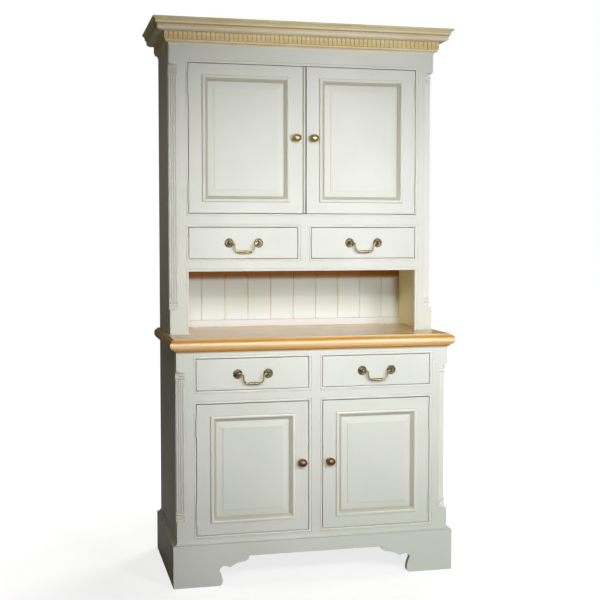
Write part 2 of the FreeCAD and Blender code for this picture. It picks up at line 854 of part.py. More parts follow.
def cornice_crown():
    """Cavetto, fillets and ovolo, mitred round the top of the carcass."""
    top = z_upper_top + crown_height
    out = crown_projection
    section = [(-crown_inset, z_upper_top), (-crown_inset, top), (out, top), (out, top - 6),
               (out - 1.5, top - 6), (out - 8, top - 13, -1.9), (out - 9.5, top - 13),
               (out - 9.5, top - 22), (out - 14.5, top - 23), (out - 17, top - 33),
               (out - 21.5, top - 43, 2.2), (crown_foot, z_upper_top, 0.7)]
    return wrap_three_sides(section, y_upper)


def dentil_gaps(length, start, step, size):
    """Boxes to cut between teeth, spread so that a tooth ends each run."""
    spaces = round((length - dentil_tooth) / dentil_pitch)
    pitch = (length - dentil_tooth) / spaces
    gap = pitch - dentil_tooth
    cuts = []
    for space in range(spaces):
        corner = start + step * (dentil_tooth + space * pitch)
        cuts.append(Part.makeBox(*size(gap), corner))
    return Part.makeCompound(cuts)


def dentil_band():
    """Dentil course over a bed mould of bead and cove, mitred like the crown."""
    top = z_upper_top
    base = top - dentil_height
    foot = base - bed_mould_height
    section = [(0, foot), (0, top), (dentil_face, top), (dentil_face, base), (12, base),
               (12, base - 8, 2.0), (11, base - 8), (2, foot, -2.6)]
    front, left, right = wrap_three_sides(section, y_upper)
    depth = dentil_face - dentil_backing
    x_start = -half_width - dentil_face
    y_start = y_upper - dentil_face
    front_cuts = dentil_gaps(-2 * x_start, Vector(x_start, y_start, base), Vector(1, 0, 0),
                             lambda gap: (gap, depth, dentil_height))
    side_cuts = dentil_gaps(y_back - y_start, Vector(x_start, y_start, base), Vector(0, 1, 0),
                            lambda gap: (depth, gap, dentil_height))
    left = left.cut(side_cuts)
    return [front.cut(front_cuts), left, mirrored(left)]


# ---------------------------------------------------------------- the nodes

nodes = {
    "plinth_front": plinth_front(),
    "plinth_sides": plinth_sides(),
    "plinth_blocks": plinth_blocks(),
    "plinth_moulding": plinth_moulding(),
    "base_sides": side_board(y_base, plinth_height, z_base_top),
    "base_bottom": [deck_board(y_base, z_deck - deck_thickness, z_deck, y_base_inner)],
    "base_back": [box(-inside_half, inside_half, y_base_inner, y_back, plinth_height, z_base_top)],
    "base_posts": both_sides([post(y_base, plinth_height, z_base_top,
                                   base_plain_foot, base_plain_head, base_stop)]),
    "base_frame": base_frame(),
    "base_beads": base_beads(),
    "base_drawer_runners": drawer_runners(
        y_base, y_base_inner, z_drawer_bottom + bead_width - lower_runner_thickness,
        (z_drawer_bottom, z_drawer_top), z_base_top, lower_drawer_length),
    "shelves": [shelf(y_base, z_lower_shelf, y_base_inner),
                shelf(y_upper, z_upper_shelf, y_upper_inner)],
    "shelf_battens": shelf_battens(y_base, z_lower_shelf, y_base_inner)
    + shelf_battens(y_upper, z_upper_shelf, y_upper_inner),
    "worktop": worktop(),
    "upper_sides": side_board(y_upper, z_worktop, z_upper_top),
    "upper_top": [deck_board(y_upper, z_upper_top - ceiling_thickness, z_upper_top, y_upper_inner)],
    "cupboard_floor": [deck_board(y_upper, z_floor - deck_thickness, z_floor, y_upper_inner)],
    "recess_ceiling": [deck_board(y_upper, z_recess_top, z_ceiling, y_upper_inner)],
    "back_boards": back_boards(),
    "recess_back_rail": recess_back_rail(),
    "upper_posts": both_sides([post(y_upper, z_worktop, z_upper_top,
                                    upper_plain_foot, upper_plain_head, upper_stop)]),
    "upper_frame": upper_frame(),
    "upper_beads": upper_beads(),
    "upper_drawer_runners": drawer_runners(
        y_upper, y_upper_inner, z_ceiling, (z_upper_drawer_bottom, z_upper_drawer_top),
        z_floor - deck_thickness, upper_drawer_length),
    "cornice_crown": cornice_crown(),
    "dentil_band": dentil_band(),
    "hinge_leaves": [],
    "door_catches": [],
}


def add_pair(kind, left, right):
    """Adds the nodes of a left-hand piece, and of a right-hand one mirrored."""
    for side, pieces in (("left", left), ("right", right)):
        for name, solids in pieces.items():
            nodes[f"{kind}_{side}_{name}"] = solids if side == "left" else [
                mirrored(solid) for solid in solids]


lower_opening = shrink(left_opening(z_door_bottom, z_door_top), bead_width)
upper_half = shrink(wide_opening(z_upper_door_bottom, z_upper_door_top), bead_width + door_gap)
lower_leaf = shrink(lower_opening, door_gap)
upper_leaf = (upper_half[0], -(meeting_bead_width + door_gap) / 2, upper_half[2], upper_half[3])

lower_door = door(lower_leaf, y_base, lower_knob_inset, lower_knob_height, False)
upper_left = door(upper_leaf, y_upper, upper_knob_inset, upper_knob_height, True)
upper_right = door(upper_leaf, y_upper, upper_knob_inset, upper_knob_height, False)
for pair in ((lower_door, lower_door), (upper_left, upper_right)):
    for node, key in (("hinge_leaves", "fixed"), ("door_catches", "catch")):
        left, right = (pieces[key] for pieces in pair)
        nodes[node] += left + [mirrored(solid) for solid in right]
for pieces in (lower_door, upper_left, upper_right):
    del pieces["fixed"], pieces["catch"]
add_pair("door_lower", lower_door, lower_door)
add_pair("door_upper", upper_left, upper_right)

lower_drawer = drawer(left_opening(z_drawer_bottom, z_drawer_top), y_base, lower_drawer_length)
upper_drawer = drawer(left_opening(z_upper_drawer_bottom, z_upper_drawer_top), y_upper,
                      upper_drawer_length)
add_pair("drawer_lower", lower_drawer, lower_drawer)
add_pair("drawer_upper", upper_drawer, upper_drawer)

os.makedirs("parts", exist_ok=True)
for name, solids in nodes.items():
    Part.makeCompound(solids).exportStep(f"parts/{name}.step")
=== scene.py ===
import bpy
import json
import math
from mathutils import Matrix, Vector


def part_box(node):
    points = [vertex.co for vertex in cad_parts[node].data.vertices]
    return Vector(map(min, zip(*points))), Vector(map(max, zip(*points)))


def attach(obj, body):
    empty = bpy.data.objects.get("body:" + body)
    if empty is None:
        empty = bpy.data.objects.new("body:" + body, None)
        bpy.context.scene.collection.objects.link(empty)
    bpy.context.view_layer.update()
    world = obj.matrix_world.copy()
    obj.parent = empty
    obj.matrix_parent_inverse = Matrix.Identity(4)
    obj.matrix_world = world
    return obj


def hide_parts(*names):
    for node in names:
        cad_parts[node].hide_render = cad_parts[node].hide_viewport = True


# Looks of the step back cupboard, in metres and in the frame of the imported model. The wood and
# paint are materials on the CAD pieces, and the knobs and handles are finer meshes in their place.

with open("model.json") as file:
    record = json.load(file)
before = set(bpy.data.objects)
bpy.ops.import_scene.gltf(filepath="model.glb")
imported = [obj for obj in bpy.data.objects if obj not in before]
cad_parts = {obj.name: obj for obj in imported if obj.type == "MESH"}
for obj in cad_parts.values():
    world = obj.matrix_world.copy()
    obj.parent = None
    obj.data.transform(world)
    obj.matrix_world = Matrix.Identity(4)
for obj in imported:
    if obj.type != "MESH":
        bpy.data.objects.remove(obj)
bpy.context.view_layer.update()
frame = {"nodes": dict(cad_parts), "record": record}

MM = 0.001

# Levels and faces of the cupboard that its finishes follow
WORKTOP_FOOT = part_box("worktop")[0].z
RECESS_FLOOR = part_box("back_boards")[0].z
RECESS_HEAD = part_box("recess_ceiling")[0].z
RECESS_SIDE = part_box("back_boards")[1].x
DENTIL_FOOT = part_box("dentil_band")[0].z
CROWN_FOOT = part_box("cornice_crown")[0].z


def beyond(level, *stops):
    """Stops given in mm beyond a level, each with its colour or share, as places in metres."""
    return [(level + distance * MM, mark) for distance, mark in stops]


# ---------------------------------------------------------------- colours


def srgb(red, green, blue):
    """A screen colour, 0 to 255, as the linear colour that the shaders use."""
    def linear(level):
        level = level / 255
        return level / 12.92 if level <= 0.04045 else ((level + 0.055) / 1.055) ** 2.4
    return (linear(red), linear(green), linear(blue), 1.0)


# Paint of the carcass, doors and drawers, paler tints painted as light on faces that turn aside, and
# the glaze wiped over it, whose colours also paint shade in the gaps and under the worktop
PAINT_PALE = srgb(216, 220, 210)
PAINT_GREY = srgb(208, 213, 200)
CREAM = srgb(216, 209, 186)
# Paler tints painted as light on faces that turn from the front
TURNED_LIGHT_TINT = srgb(238, 237, 226)
REED_LIGHT_TINT = srgb(255, 255, 244)
GLAZE_AND_SHADE = srgb(152, 132, 72)
DEEP_GLAZE_AND_SHADE = srgb(116, 92, 50)

# Share of painted shade on the carcass, under the worktop's overhang, by mm above the worktop's foot
UNDER_TOP_SHADE = ((-7.5, 0.0), (-4, 0.7), (4, 0.9), (4.5, 0.0))

# Cornice colours by height, in mm above the foot of the dentil band and then of the crown: cream and
# ochre paint with painted light and shade, paler on the cavetto, a painted highlight on the fillet
# and painted shade in the quirk
BED_MOULD = ((1, srgb(236, 226, 196)), (7, srgb(234, 222, 184)), (12, srgb(246, 234, 194)))
DENTILS = ((18, srgb(224, 210, 152)), (23, srgb(218, 198, 136)), (32, srgb(220, 202, 140)),
           (39, srgb(236, 216, 158)), (42.5, srgb(214, 194, 138)))
CAVETTO = ((0.5, srgb(250, 248, 218)), (7, srgb(250, 246, 214)), (13, srgb(236, 218, 174)),
           (19, srgb(228, 208, 160)))
QUIRK = ((20.5, srgb(160, 140, 88)), (22.5, srgb(176, 158, 108)))
FILLET = ((24, srgb(248, 240, 206)), (30, srgb(242, 230, 186)))
OVOLO = ((32.5, srgb(214, 200, 140)), (35, srgb(226, 214, 152)), (39, srgb(246, 238, 184)),
         (45, srgb(222, 216, 164)))
# Ochre of the wiped streaks and of the cornice's hollows, and the line colour of its deepest
# hollows; in the hollows partly glaze and partly painted shade
CORNICE_OCHRE = srgb(204, 168, 80)
CORNICE_LINE = srgb(150, 118, 52)

# Inside of the recess, with paler colours standing in for light low on the boards and on the walls,
# and the share of painted shade by mm above its head and beyond its side
RECESS_PALE = srgb(217, 223, 218)
RECESS_CREAM = srgb(211, 216, 203)
RECESS_LIT_LOW = srgb(234, 238, 235)
RECESS_WALL_LIT = srgb(255, 246, 196)
RECESS_SHADE_AND_GLAZE = srgb(144, 92, 6)
RECESS_JOINT = srgb(206, 158, 60)
HEAD_SHADE = ((-61.5, 0.0), (-53.5, 0.25), (-49.5, 0.75), (-39.5, 1.0), (0.5, 1.0), (2.5, 0.0))
SIDE_SHADE = ((-1, 0.0), (-0.5, 1.0), (5, 1.0), (10, 0.0))

# Wood, and the share of painted shade or painted highlight on the worktop's edge by mm above its
# foot
OAK_PALE = srgb(240, 210, 156)
OAK_MID = srgb(222, 172, 96)
OAK_DARK = srgb(194, 132, 34)
OAK_HIGHLIGHT = srgb(246, 232, 196)
COVE_SHADE = ((4, 1.0), (6, 0.8), (7.5, 0.0), (10, 0.4), (12.5, 0.5), (14, 0.0))
NOSE_SHADE = ((31, 0.0), (34.5, 0.7), (39.5, 0.85), (42, 0.3), (47, 0.2), (47.8, 0.0))
NOSE_HIGHLIGHT = ((18, 0.0), (23, 0.5), (26.5, 0.5), (31, 0.0))
PINE_PALE = srgb(222, 192, 146)
PINE_DARK = srgb(182, 140, 88)

# Metals, rubbed and in their hollows
BRASS = srgb(200, 172, 116)
BRASS_DARK = srgb(60, 44, 18)
BRONZE = srgb(138, 104, 74)
BRONZE_DARK = srgb(46, 30, 20)
ANTIQUE = srgb(120, 110, 84)
ANTIQUE_DARK = srgb(14, 11, 7)
RUBBED = srgb(170, 150, 100)

# ---------------------------------------------------------------- node trees

# Cosines of the turn from straight ahead at which a face starts and ends turning aside
SQUARE_ON = 0.995
TURNED_ASIDE = 0.93
CREVICE_SAMPLES = 8


class Tree:
    """Short calls for building the nodes of a world or a material."""

    def __init__(self, owner):
        owner.use_nodes = True
        self.nodes = owner.node_tree.nodes
        self.links = owner.node_tree.links

    def add(self, kind, settings=(), **inputs):
        """A new node. Inputs are given by name with _ for a space, or by number with a leading _."""
        node = self.nodes.new(kind)
        for key, value in dict(settings).items():
            setattr(node, key, value)
        for key, value in inputs.items():
            self.put(node, key, value)
        return node

    def put(self, node, key, value):
        number = key.strip("_")
        socket = node.inputs[int(number)] if number.isdigit() else node.inputs[key.replace("_", " ")]
        if isinstance(value, bpy.types.NodeSocket):
            self.links.new(value, socket)
        else:
            socket.default_value = value

    def ramp(self, value, low, high, start=0.0, end=1.0):
        """Value carried from the range low..high to start..end, and held at the ends."""
        node = self.add("ShaderNodeMapRange", Value=value, From_Min=low, From_Max=high,
                        To_Min=start, To_Max=end)
        return node.outputs["Result"]

    def fade(self, value, level, first, last, start=0.0, end=1.0):
        """Start to end, while a value goes from first to last mm beyond a level."""
        return self.ramp(value, level + first * MM, level + last * MM, start, end)

    def axis(self, vector, letter):
        return self.add("ShaderNodeSeparateXYZ", Vector=vector).outputs[letter]

    def math(self, operation, first, second=0.0):
        node = self.add("ShaderNodeMath", {"operation": operation}, _0=first, _1=second)
        return node.outputs["Value"]

    def mix(self, factor, first, second):
        node = self.add("ShaderNodeMix", {"data_type": "RGBA"}, _0=factor, _6=first, _7=second)
        return node.outputs[2]


class Finish(Tree):
    """A material, built from the places and normals of its object."""

    def __init__(self, name):
        self.material = bpy.data.materials.new(name)
        super().__init__(self.material)
        self.shader = self.nodes["Principled BSDF"]
        coordinates = self.add("ShaderNodeTexCoord").outputs
        self.where = coordinates["Object"]
        self.normal = coordinates["Normal"]

    def height(self):
        return self.axis(self.where, "Z")

    def outward(self):
        """Distance to either side of the cupboard's middle."""
        return self.math("ABSOLUTE", self.axis(self.where, "X"))

    def squareness(self):
        """1 on faces that look straight forward or back, and 0 on faces that look aside."""
        return self.math("ABSOLUTE", self.axis(self.normal, "Y"))

    def turned(self, most=1.0):
        """0 on faces that look straight forward or back, rising to most as they turn aside."""
        return self.ramp(self.squareness(), SQUARE_ON, TURNED_ASIDE, end=most)

    def noise(self, scale, detail=3.0, roughness=0.5, stretch=(1, 1, 1), warp=0.0):
        """Clouds, drawn out along the axes where stretch is small."""
        place = self.add("ShaderNodeMapping", Vector=self.where, Scale=stretch).outputs["Vector"]
        node = self.add("ShaderNodeTexNoise", Vector=place, Scale=scale, Detail=detail,
                        Roughness=roughness, Distortion=warp)
        return node.outputs["Fac"]

    def bands(self, value, stops):
        """A colour read from rising stops, each a value with its colour or grey level."""
        low = stops[0][0]
        high = stops[-1][0]
        node = self.add("ShaderNodeValToRGB", Fac=self.ramp(value, low, high))
        marks = node.color_ramp.elements
        while len(marks) < len(stops):
            marks.new(1.0)
        for mark, (place, colour) in zip(marks, stops):
            mark.position = (place - low) / (high - low)
            mark.color = colour if isinstance(colour, tuple) else (colour, colour, colour, 1.0)
        return node.outputs["Color"]

    def crevice(self, reach):
        """0 on open faces, rising to 1 in quirks, gaps and corners narrower than reach."""
        node = self.add("ShaderNodeAmbientOcclusion", {"samples": CREVICE_SAMPLES}, Distance=reach)
        return self.math("SUBTRACT", 1.0, node.outputs["AO"])

    def bump(self, height, distance, strength):
        node = self.add("ShaderNodeBump", Height=height, Distance=distance, Strength=strength)
        self.put(self.shader, "Normal", node.outputs["Normal"])

    def finish(self, **inputs):
        for key, value in inputs.items():
            self.put(self.shader, key, value)
        return self.material


# ---------------------------------------------------------------- paint, wood and metal

# How brush marks and grain are drawn out: small along the stroke, large across it
UPRIGHT = (14, 14, 1.2)
LEVEL = (1.2, 14, 14)
DEEP = (14, 1.2, 14)


def brushed(tree, grain, base, second):
    """Satin paint laid on by brush: faint clouds, streaks of cream, and painted shade under the
    worktop.
    """
    strokes = tree.noise(9.0, detail=4.0, roughness=0.6, stretch=grain)
    clouds = tree.ramp(tree.noise(3.0, detail=2.0), 0.35, 0.65)
    streaks = tree.ramp(strokes, 0.45, 0.8, end=0.16)
    colour = tree.mix(streaks, tree.mix(clouds, base, second), CREAM)
    # Painted shade: a dark band on the carcass just under the worktop's overhang
    under_top_shade = tree.bands(tree.height(), beyond(WORKTOP_FOOT, *UNDER_TOP_SHADE))
    tree.bump(strokes, distance=0.25 * MM, strength=0.35)
    tree.finish(Roughness=tree.ramp(strokes, 0.3, 0.7, 0.34, 0.46), Specular_IOR_Level=0.4)
    return tree.mix(under_top_shade, colour, GLAZE_AND_SHADE)


def glazed_and_shaded(tree, colour, reach, start, strength, tint=GLAZE_AND_SHADE, deep=DEEP_GLAZE_AND_SHADE):
    """Glaze in quirks, gaps and corners narrower than reach mm, partly the paint's own glaze and
    partly painted shade, darkest in the deepest gaps.
    """
    hollow = tree.crevice(reach * MM)
    uneven = tree.ramp(tree.noise(35.0), 0.3, 0.6, 0.65, 1.0)
    # Colours in the hollows: partly glaze, partly painted shade that deepens in the narrowest gaps
    glaze_and_shade_film = tree.math("MULTIPLY", tree.ramp(hollow, start, start + 0.35, end=strength), uneven)
    deepest_glaze_and_shade = tree.ramp(hollow, 0.7, 0.95, end=strength)
    return tree.mix(deepest_glaze_and_shade, tree.mix(glaze_and_shade_film, colour, tint), deep)


def painted(name, grain, reach=3.5, start=0.42, strength=0.85, turned_light=0.0, pale=TURNED_LIGHT_TINT):
    """Sage paint, with painted light: a paler tint on faces that turn from the front."""
    tree = Finish(name)
    colour = brushed(tree, grain, PAINT_PALE, PAINT_GREY)
    if turned_light:
        # Painted light: a paler tint on faces that turn from the front
        colour = tree.mix(tree.turned(turned_light), colour, pale)
    return tree.finish(Base_Color=glazed_and_shaded(tree, colour, reach, start, strength))


def painted_door(name, crown):
    """Door paint: a painted highlight on the moulding's crown, and glaze low on its inner slope that
    also darkens the door's edges in the gaps as painted shade.
    """
    tree = Finish(name)
    colour = brushed(tree, UPRIGHT, PAINT_PALE, PAINT_GREY)
    turned = tree.turned()
    back = tree.axis(tree.where, "Y")
    # Painted highlight on the turned faces of the moulding's crown
    high = tree.math("MULTIPLY", turned, tree.fade(back, crown, 1, 4, 0.9, 0.0))
    # Glaze on the inner slope, and painted shade on turned faces deeper in the gaps
    low = tree.math("MULTIPLY", turned, tree.fade(back, crown, 4, 12, 0.0, 0.5))
    colour = tree.mix(low, tree.mix(high, colour, TURNED_LIGHT_TINT), GLAZE_AND_SHADE)
    return tree.finish(Base_Color=glazed_and_shaded(tree, colour, reach=3, start=0.45, strength=0.8))


def painted_cornice(name):
    """Cream paint coloured by height with painted light and shade, ochre streaks, and ochre in the
    hollows of the mouldings that is partly glaze and partly painted shade.
    """
    tree = Finish(name)
    # Colours by height: paint tones with painted light on the cavetto and fillet and painted shade
    # in the quirk
    bands = beyond(DENTIL_FOOT, *BED_MOULD, *DENTILS)
    bands += beyond(CROWN_FOOT, *CAVETTO, *QUIRK, *FILLET, *OVOLO)
    laid = tree.bands(tree.height(), bands)
    colour = brushed(tree, LEVEL, laid, laid)
    streaks = tree.noise(5.0, detail=4.0, roughness=0.6, stretch=(1, 6, 6))
    colour = tree.mix(tree.ramp(streaks, 0.45, 0.7, end=0.35), colour, CORNICE_OCHRE)
    return tree.finish(Base_Color=glazed_and_shaded(tree, colour, reach=4, start=0.4, strength=0.6,
                                         tint=CORNICE_OCHRE, deep=CORNICE_LINE))


def painted_recess(name):
    """Paint of the upper sides and the back boards, cream inside the recess, with painted light low
    on the boards and on the walls, and painted shade under the head, in the corners and higher up
    the walls.
    """
    tree = Finish(name)
    height = tree.height()
    outward = tree.outward()
    front = tree.ramp(tree.axis(tree.normal, "Y"), -0.3, -0.6)
    outside = brushed(tree, UPRIGHT, PAINT_PALE, PAINT_GREY)

    clouds = tree.ramp(tree.noise(4.0, detail=2.0), 0.35, 0.65)
    # Painted light: the boards paler near the recess floor
    lit_near_floor = tree.fade(height, RECESS_FLOOR, 90, 40)
    boards = tree.mix(lit_near_floor, tree.mix(clouds, RECESS_PALE, RECESS_CREAM), RECESS_LIT_LOW)
    # Painted light: the recess walls in a paler cream
    over_head = tree.fade(height, RECESS_HEAD, 0.5, 2.5)
    wall = tree.mix(over_head, RECESS_WALL_LIT, outside)
    at_wall = tree.fade(outward, RECESS_SIDE, -1, -0.5)
    inside = tree.mix(at_wall, tree.mix(front, outside, boards), wall)
    in_side_board = tree.fade(outward, RECESS_SIDE, 1, 19)
    colour = tree.mix(in_side_board, inside, outside)

    # Painted shade: the boards darker under the recess head and in its corners
    head = tree.bands(height, beyond(RECESS_HEAD, *HEAD_SHADE))
    near_wall = tree.fade(outward, RECESS_SIDE, -34, -2, end=0.8)
    rising = tree.fade(height, RECESS_FLOOR, 20, 170, 0.2, 1.0)
    corner = tree.math("MULTIPLY", near_wall, rising)
    between_walls = tree.fade(outward, RECESS_SIDE, -1, -0.5, 1.0, 0.0)
    on_boards = tree.math("MULTIPLY", between_walls, front)
    painted_shade = tree.math("MULTIPLY", tree.math("MAXIMUM", head, corner), on_boards)
    colour = tree.mix(painted_shade, colour, RECESS_SHADE_AND_GLAZE)
    # Painted shade: the recess walls darker higher up
    on_wall = tree.bands(outward, beyond(RECESS_SIDE, *SIDE_SHADE))
    darker = tree.fade(height, RECESS_FLOOR, 70, 220, end=0.1)
    colour = tree.mix(tree.math("MULTIPLY", on_wall, darker), colour, RECESS_SHADE_AND_GLAZE)

    tree.finish(Specular_IOR_Level=0.15)
    return tree.finish(Base_Color=glazed_and_shaded(tree, colour, reach=6, start=0.25, strength=0.85,
                                         tint=RECESS_JOINT, deep=RECESS_SHADE_AND_GLAZE))


def oak(name):
    """Oiled oak: long grain and pores, with painted shade and a painted highlight in bands along the
    moulded edge.
    """
    tree = Finish(name)
    figure = tree.noise(2.2, detail=4.0, roughness=0.6, stretch=(1.0, 90, 90), warp=1.0)
    pores = tree.noise(60.0, detail=2.0, roughness=0.6, stretch=(0.35, 8, 8))
    height = tree.height()
    colour = tree.mix(tree.ramp(figure, 0.42, 0.6), OAK_PALE, OAK_MID)
    colour = tree.mix(tree.ramp(pores, 0.54, 0.7, end=0.3), colour, OAK_DARK)
    # Painted shade in bands on the cove and quirks of the edge
    painted_shade = tree.bands(height, beyond(WORKTOP_FOOT, *COVE_SHADE, *NOSE_SHADE))
    colour = tree.mix(painted_shade, colour, OAK_DARK)
    # Painted highlight along the nose of the edge
    painted_highlight = tree.bands(height, beyond(WORKTOP_FOOT, *NOSE_HIGHLIGHT))
    colour = tree.mix(painted_highlight, colour, OAK_HIGHLIGHT)
    tree.bump(pores, distance=0.3 * MM, strength=0.5)
    return tree.finish(Base_Color=colour, Roughness=tree.ramp(figure, 0.3, 0.7, 0.16, 0.26))


def pine(name, grain):
    """Planed softwood, with level grain on the faces that look forward or back."""
    tree = Finish(name)
    along = tree.noise(3.0, detail=4.0, roughness=0.55, stretch=grain, warp=1.0)
    across = tree.noise(3.0, detail=4.0, roughness=0.55, stretch=LEVEL, warp=1.0)
    figure = tree.mix(tree.ramp(tree.squareness(), 0.6, 0.8), along, across)
    colour = tree.mix(tree.ramp(figure, 0.38, 0.62), PINE_PALE, PINE_DARK)
    # Painted shade in the crevices of the softwood
    shaded = tree.ramp(tree.crevice(10 * MM), 0.4, 0.9, end=0.6)
    tree.bump(figure, distance=0.2 * MM, strength=0.4)
    return tree.finish(Base_Color=tree.mix(shaded, colour, DEEP_GLAZE_AND_SHADE),
                       Roughness=tree.ramp(figure, 0.3, 0.7, 0.55, 0.7))


def metal(name, bright, dark, roughness, reach=5):
    """Cast and rubbed metal, darker in the hollows narrower than reach mm."""
    tree = Finish(name)
    blotch = tree.noise(140.0)
    hollow = tree.ramp(tree.crevice(reach * MM), 0.05, 0.35)
    worn = tree.math("ADD", hollow, tree.ramp(blotch, 0.5, 0.8, end=0.35))
    tree.bump(blotch, distance=0.1 * MM, strength=0.3)
    return tree.finish(Base_Color=tree.mix(tree.ramp(worn, 0.0, 1.0), bright, dark), Metallic=1.0,
                       Roughness=tree.ramp(blotch, 0.3, 0.7, roughness, roughness + 0.14))


paint_upright = painted("paint_upright", UPRIGHT)
paint_level = painted("paint_level", LEVEL)
# Reeds, beads and panels take painted light on faces that turn from the front
paint_reeds = painted("paint_reeds", UPRIGHT, reach=3, start=0.75, strength=0.3, turned_light=1.0,
                      pale=REED_LIGHT_TINT)
paint_beads = painted("paint_beads", UPRIGHT, reach=2.5, start=0.52, strength=0.8, turned_light=1.0)
paint_doors = {level: painted_door(f"paint_{level}_doors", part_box(f"door_{level}_left_frame")[0].y)
               for level in ("lower", "upper")}
paint_panel = painted("paint_panel", UPRIGHT, reach=5, start=0.35, strength=0.8, turned_light=0.9)
hinge_paint = painted("hinge_paint", UPRIGHT, reach=3)
paint_cornice = painted_cornice("paint_cornice")
paint_recess = painted_recess("paint_recess")
oiled_oak = oak("oiled_oak")
plain_pine = pine("plain_pine", DEEP)
level_pine = pine("level_pine", LEVEL)
bright_brass = metal("bright_brass", BRASS, BRASS_DARK, roughness=0.3)
bronze = metal("bronze", BRONZE, BRONZE_DARK, roughness=0.3)
antique_brass = metal("antique_brass", ANTIQUE, ANTIQUE_DARK, roughness=0.18, reach=12)
rubbed_brass = metal("rubbed_brass", RUBBED, ANTIQUE_DARK, roughness=0.2)

# ---------------------------------------------------------------- finishes of the CAD nodes

SLOT_FINISH = {"paint": paint_upright, "oak": oiled_oak, "softwood": plain_pine,
               "hinge_paint": hinge_paint, "bright_brass": bright_brass, "bronze": bronze,
               "antique_brass": antique_brass}
NODE_FINISH = {"cornice_crown": paint_cornice, "dentil_band": paint_cornice,
               "base_posts": paint_reeds, "upper_posts": paint_reeds,
               "base_beads": paint_beads, "upper_beads": paint_beads,
               "back_boards": paint_recess, "upper_sides": paint_recess,
               "base_frame": paint_level, "upper_frame": paint_level,
               "plinth_blocks": level_pine, "plinth_front": paint_level,
               "plinth_moulding": paint_level, "recess_back_rail": paint_recess,
               "shelves": paint_level}


def finish_of(node, slot):
    if node.startswith("drawer") and node.endswith("front"):
        return paint_level
    if node.startswith("door") and node.endswith("frame"):
        return paint_doors[node.split("_")[1]]
    if node.endswith("panel"):
        return paint_panel
    return NODE_FINISH.get(node, SLOT_FINISH[slot])


for part in frame["record"]["subparts"]:
    node = part["node"]
    for slot in frame["nodes"][node].material_slots:
        slot.material = finish_of(node, part["material_slot"])

# ---------------------------------------------------------------- turned and bent metal


def mesh_piece(name, points, faces, material, body, levels=0):
    """A smooth mesh piece that rides on a body and wears the finish it is given."""
    mesh = bpy.data.meshes.new(name)
    mesh.from_pydata(points, [], faces)
    mesh.materials.append(material)
    for polygon in mesh.polygons:
        polygon.use_smooth = True
    mesh.update()
    piece = bpy.data.objects.new(name, mesh)
    bpy.context.scene.collection.objects.link(piece)
    if levels:
        modifier = piece.modifiers.new("smooth", "SUBSURF")
        modifier.levels = levels
        modifier.render_levels = levels
    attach(piece, body)
    return piece


LATHE_SEGMENTS = 24


def lathe(profile, centre, widen=1.0):
    """Points and faces of a piece turned about an axis that points forward.

    The profile is a list of (radius, distance forward). It starts and ends on the axis.
    """
    points = [Vector((centre.x, centre.y - profile[0][1], centre.z))]
    for radius, out in profile[1:-1]:
        for step in range(LATHE_SEGMENTS):
            angle = 2 * math.pi * step / LATHE_SEGMENTS
            points.append(Vector((centre.x + widen * radius * math.cos(angle),
                                  centre.y - out, centre.z + radius * math.sin(angle))))
    points.append(Vector((centre.x, centre.y - profile[-1][1], centre.z)))
    last = len(points) - 1
    rings = len(profile) - 2
    faces = []
    for step in range(LATHE_SEGMENTS):
        after = (step + 1) % LATHE_SEGMENTS
        faces.append((0, 1 + after, 1 + step))
        for ring in range(rings - 1):
            low = 1 + ring * LATHE_SEGMENTS
            high = low + LATHE_SEGMENTS
            faces.append((low + step, low + after, high + after, high + step))
        top = 1 + (rings - 1) * LATHE_SEGMENTS
        faces.append((last, top + step, top + after))
    return points, faces


def millimetres(pairs):
    return [(first * MM, second * MM) for first, second in pairs]


# Knobs: the same turning as the CAD, with its hollows and dome rounded, as (radius, out)
KNOB_PROFILE = millimetres([(0, 0), (11.6, 0), (12.0, 0.3), (12.0, 1.0), (11.0, 1.9), (8.0, 2.4),
                            (6.6, 3.2), (5.4, 6.0), (5.2, 9.5), (5.6, 12.5), (8.0, 14.8),
                            (12.5, 16.8), (14.8, 19.0), (15.5, 22.0), (14.9, 25.5), (12.6, 29.0),
                            (8.8, 32.0), (4.2, 33.7), (0, 34.0)])
KNOB_WIDTH = 36
KNOB_HEIGHT = 31

for level, slot, finish in (("lower", "bronze", bronze), ("upper", "bright_brass", bright_brass)):
    for side in ("left", "right"):
        node = f"door_{level}_{side}_knob"
        low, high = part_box(node)
        centre = Vector(((low.x + high.x) / 2, high.y, (low.z + high.z) / 2))
        points, faces = lathe(KNOB_PROFILE, centre, KNOB_WIDTH / KNOB_HEIGHT)
        piece = mesh_piece(f"{node}_turned", points, faces, finish, f"door_{level}_{side}",
                           levels=2)
        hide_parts(node)

# Posts of the handles: a dished rose, a neck and a head that holds the bail, as (radius, out)
POST_SPREAD = 114 * MM
POST_REACH = 18 * MM
POST_PROFILE = millimetres([(0, 0), (17.8, 0), (18.0, 0.4), (17.7, 1.0), (16.4, 1.6), (15.0, 2.4),
                            (13.6, 2.3), (12.6, 1.4), (10.2, 1.3), (8.4, 1.6), (6.6, 2.9),
                            (4.8, 4.2), (3.7, 6.8), (3.5, 9.6), (4.2, 11.2), (6.1, 13.2),
                            (7.0, 16.0), (7.0, 19.8), (5.8, 22.9), (3.2, 24.5), (0, 25.0)])

